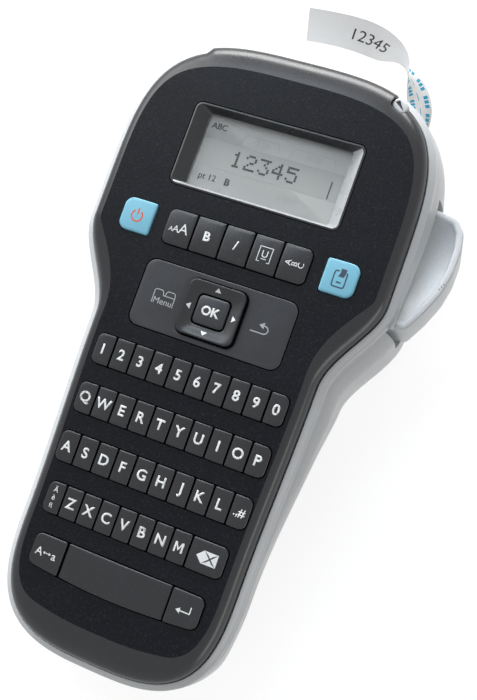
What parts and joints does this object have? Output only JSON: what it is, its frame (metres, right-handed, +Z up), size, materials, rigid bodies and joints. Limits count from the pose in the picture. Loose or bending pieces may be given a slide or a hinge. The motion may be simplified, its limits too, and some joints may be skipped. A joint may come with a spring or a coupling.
{
  "type": "handheld label maker",
  "caption": "Handheld label maker with a tilted key and display face, a deep head holding a tape cassette and print mechanism, a side cutter lever and a slim battery grip.",
  "frame": {"origin": "middle of the head's flat back, which rests on the table, on the centre line", "axes": "+Y along the maker from the grip to the head, +Z up out of the key face, +X to the right as the keys are read"},
  "size_m": [0.1214, 0.2288, 0.053],
  "materials": {
    "charcoal": "fine matte texture with a glossy bevel",
    "key": "satin",
    "blue_key": "satin",
    "silver": "pearl satin",
    "lever": "pearl satin",
    "bezel": "satin",
    "window": "clear, glossy",
    "lcd": "grey-green display",
    "mat": "matte",
    "board": "green solder mask",
    "steel": "plated",
    "brass": "bare",
    "black_plastic": "matte",
    "cell": "printed sleeve",
    "cassette": "translucent white",
    "label": "satin film",
    "ribbon": "glossy film",
    "ceramic": "matte",
    "aluminium": "extruded",
    "gear": "natural nylon",
    "roller": "ground",
    "carrier": "natural"
  },
  "bodies": {
    "case": {"front_cover": "charcoal", "rear_case": "silver", "display_bezel": "bezel", "display_window": "window", "lcd_panel": "lcd", "keypad_mat": "mat", "main_board": "board", "board_screws": "steel", "case_screws": "steel", "dc_jack": "black_plastic", "batteries": "cell", "battery_springs": "steel", "battery_plates": "brass", "mechanism_frame": "steel", "motor": "steel", "roller_bracket": "steel", "cassette_shell": "cassette", "cassette_tape": "label", "printed_label": "label", "print_head": "ceramic", "heat_sink": "aluminium", "lever_pin": "steel", "lever_spring": "steel"},
    "tape_door": {"tape_door": "silver"},
    "battery_cover": {"battery_cover": "silver"},
    "power_key": {"power_key": "blue_key"},
    "print_key": {"print_key": "blue_key"},
    "size_key": {"size_key": "key"},
    "bold_key": {"bold_key": "key"},
    "italic_key": {"italic_key": "key"},
    "underline_key": {"underline_key": "key"},
    "vertical_key": {"vertical_key": "key"},
    "ok_key": {"ok_key": "key"},
    "digit_keys": {"digit_keys": "key"},
    "top_letter_keys": {"top_letter_keys": "key"},
    "home_letter_keys": {"home_letter_keys": "key"},
    "bottom_letter_keys": {"bottom_letter_keys": "key"},
    "symbol_key": {"symbol_key": "key"},
    "accent_key": {"accent_key": "key"},
    "delete_key": {"delete_key": "key"},
    "caps_key": {"caps_key": "key"},
    "space_key": {"space_key": "key"},
    "enter_key": {"enter_key": "key"},
    "menu_back_rocker": {"menu_back_rocker": "key"},
    "nav_pivot": {"nav_pivot": "black_plastic"},
    "nav_ring": {"nav_ring": "key"},
    "cutter_lever": {"cutter_lever": "lever"},
    "cutter": {"cutter_carrier": "carrier", "cutter_blade": "steel"},
    "motor_pinion": {"motor_pinion": "brass"},
    "reduction_gear": {"reduction_gear": "gear"},
    "drive_gear": {"drive_gear": "gear"},
    "idler_gear": {"idler_gear": "gear"},
    "platen": {"platen_roller": "roller", "platen_gear": "gear"},
    "takeup": {"takeup_spindle": "gear", "takeup_spool": "ribbon"},
    "tape_roll": {"tape_roll": "label"},
    "ribbon_supply": {"ribbon_supply_spool": "ribbon"}
  },
  "joints": [
    {"name": "power_press", "type": "slide", "parent": "case", "child": "power_key", "axis": [0, 0.1045, -0.9945], "range_m": [0, 0.001], "stiffness_N_per_m": 60, "springref_m": -0.004},
    {"name": "print_press", "type": "slide", "parent": "case", "child": "print_key", "axis": [0, 0.1045, -0.9945], "range_m": [0, 0.001], "stiffness_N_per_m": 60, "springref_m": -0.004},
    {"name": "size_press", "type": "slide", "parent": "case", "child": "size_key", "axis": [0, 0.1045, -0.9945], "range_m": [0, 0.001], "stiffness_N_per_m": 60, "springref_m": -0.004},
    {"name": "bold_press", "type": "slide", "parent": "case", "child": "bold_key", "axis": [0, 0.1045, -0.9945], "range_m": [0, 0.001], "stiffness_N_per_m": 60, "springref_m": -0.004},
    {"name": "italic_press", "type": "slide", "parent": "case", "child": "italic_key", "axis": [0, 0.1045, -0.9945], "range_m": [0, 0.001], "stiffness_N_per_m": 60, "springref_m": -0.004},
    {"name": "underline_press", "type": "slide", "parent": "case", "child": "underline_key", "axis": [0, 0.1045, -0.9945], "range_m": [0, 0.001], "stiffness_N_per_m": 60, "springref_m": -0.004},
    {"name": "vertical_press", "type": "slide", "parent": "case", "child": "vertical_key", "axis": [0, 0.1045, -0.9945], "range_m": [0, 0.001], "stiffness_N_per_m": 60, "springref_m": -0.004},
    {"name": "ok_press", "type": "slide", "parent": "case", "child": "ok_key", "axis": [0, 0.1045, -0.9945], "range_m": [0, 0.001], "stiffness_N_per_m": 60, "springref_m": -0.004},
    {"name": "digit_row_press", "type": "slide", "parent": "case", "child": "digit_keys", "axis": [0, 0.1045, -0.9945], "range_m": [0, 0.001], "stiffness_N_per_m": 300, "springref_m": -0.004},
    {"name": "top_letter_row_press", "type": "slide", "parent": "case", "child": "top_letter_keys", "axis": [0, 0.1045, -0.9945], "range_m": [0, 0.001], "stiffness_N_per_m": 300, "springref_m": -0.004},
    {"name": "home_letter_row_press", "type": "slide", "parent": "case", "child": "home_letter_keys", "axis": [0, 0.1045, -0.9945], "range_m": [0, 0.001], "stiffness_N_per_m": 300, "springref_m": -0.004},
    {"name": "bottom_letter_row_press", "type": "slide", "parent": "case", "child": "bottom_letter_keys", "axis": [0, 0.1045, -0.9945], "range_m": [0, 0.001], "stiffness_N_per_m": 300, "springref_m": -0.004},
    {"name": "symbol_press", "type": "slide", "parent": "case", "child": "symbol_key", "axis": [0, 0.1045, -0.9945], "range_m": [0, 0.001], "stiffness_N_per_m": 60, "springref_m": -0.004},
    {"name": "accent_press", "type": "slide", "parent": "case", "child": "accent_key", "axis": [0, 0.1045, -0.9945], "range_m": [0, 0.001], "stiffness_N_per_m": 60, "springref_m": -0.004},
    {"name": "delete_press", "type": "slide", "parent": "case", "child": "delete_key", "axis": [0, 0.1045, -0.9945], "range_m": [0, 0.001], "stiffness_N_per_m": 60, "springref_m": -0.004},
    {"name": "caps_press", "type": "slide", "parent": "case", "child": "caps_key", "axis": [0, 0.1045, -0.9945], "range_m": [0, 0.001], "stiffness_N_per_m": 60, "springref_m": -0.004},
    {"name": "space_press", "type": "slide", "parent": "case", "child": "space_key", "axis": [0, 0.1045, -0.9945], "range_m": [0, 0.001], "stiffness_N_per_m": 60, "springref_m": -0.004},
    {"name": "enter_press", "type": "slide", "parent": "case", "child": "enter_key", "axis": [0, 0.1045, -0.9945], "range_m": [0, 0.001], "stiffness_N_per_m": 60, "springref_m": -0.004},
    {"name": "menu_back_rock", "type": "hinge", "parent": "case", "child": "menu_back_rocker", "pos_m": [0, -0.03698, 0.04184], "axis": [0, 0.9945, 0.1045], "range_deg": [-1.2, 1.2], "stiffness_Nm_per_rad": 0.2},
    {"name": "nav_left_right", "type": "hinge", "parent": "case", "child": "nav_pivot", "pos_m": [0, -0.03694, 0.04142], "axis": [0, 0.9945, 0.1045], "range_deg": [-2, 2], "stiffness_Nm_per_rad": 0.1},
    {"name": "nav_up_down", "type": "hinge", "parent": "nav_pivot", "child": "nav_ring", "pos_m": [0, -0.03694, 0.04142], "axis": [1, 0, 0], "range_deg": [-2, 2], "stiffness_Nm_per_rad": 0.1},
    {"name": "lever_squeeze", "type": "hinge", "parent": "case", "child": "cutter_lever", "pos_m": [0.0502, -0.0195, 0.0275], "axis": [0, 0, 1], "range_deg": [0, 6], "stiffness_Nm_per_rad": 0.15, "springref_deg": -20.05},
    {"name": "cutter_slide", "type": "slide", "parent": "case", "child": "cutter", "axis": [-1, 0, 0], "range_m": [0, 0.00412]},
    {"name": "tape_door_hinge", "type": "hinge", "parent": "case", "child": "tape_door", "pos_m": [0, -0.041, 0.001], "axis": [-1, 0, 0], "range_deg": [0, 100]},
    {"name": "battery_cover_hinge", "type": "hinge", "parent": "case", "child": "battery_cover", "pos_m": [0, -0.08535, 0.012], "axis": [1, 0, 0], "range_deg": [0, 75]},
    {"name": "drive_spin", "type": "hinge", "parent": "case", "child": "drive_gear", "pos_m": [0.00265, 0.00521, 0.0274], "axis": [0, 0, 1], "continuous": true},
    {"name": "reduction_spin", "type": "hinge", "parent": "case", "child": "reduction_gear", "pos_m": [-0.02097, 0.00183, 0.0274], "axis": [0, 0, 1], "continuous": true},
    {"name": "motor_spin", "type": "hinge", "parent": "case", "child": "motor_pinion", "pos_m": [-0.038, -0.008, 0.0274], "axis": [0, 0, 1], "continuous": true},
    {"name": "idler_spin", "type": "hinge", "parent": "case", "child": "idler_gear", "pos_m": [0.03154, 0.0169, 0.0274], "axis": [0, 0, 1], "continuous": true},
    {"name": "platen_spin", "type": "hinge", "parent": "case", "child": "platen", "pos_m": [0.0423, 0.027, 0.0274], "axis": [0, 0, 1], "continuous": true},
    {"name": "takeup_spin", "type": "hinge", "parent": "case", "child": "takeup", "pos_m": [0.019, 0.024, 0.0274], "axis": [0, 0, 1], "continuous": true},
    {"name": "tape_roll_spin", "type": "hinge", "parent": "case", "child": "tape_roll", "pos_m": [0.0042, -0.0124, 0.0274], "axis": [0, 0, 1], "continuous": true},
    {"name": "ribbon_supply_spin", "type": "hinge", "parent": "case", "child": "ribbon_supply", "pos_m": [-0.005, 0.019, 0.0274], "axis": [0, 0, 1], "continuous": true}
  ],
  "couplings": [
    {"joint": "reduction_spin", "follows": "drive_spin", "ratio": -3.8571},
    {"joint": "motor_spin", "follows": "drive_spin", "ratio": 14.143},
    {"joint": "takeup_spin", "follows": "drive_spin", "ratio": -3.1765},
    {"joint": "idler_spin", "follows": "drive_spin", "ratio": 2.25},
    {"joint": "platen_spin", "follows": "drive_spin", "ratio": -3},
    {"joint": "tape_roll_spin", "follows": "drive_spin", "ratio": 0.75},
    {"joint": "ribbon_supply_spin", "follows": "drive_spin", "ratio": 1.6235},
    {"joint": "cutter_slide", "follows": "lever_squeeze", "m_per_rad": 0.0389}
  ]
}
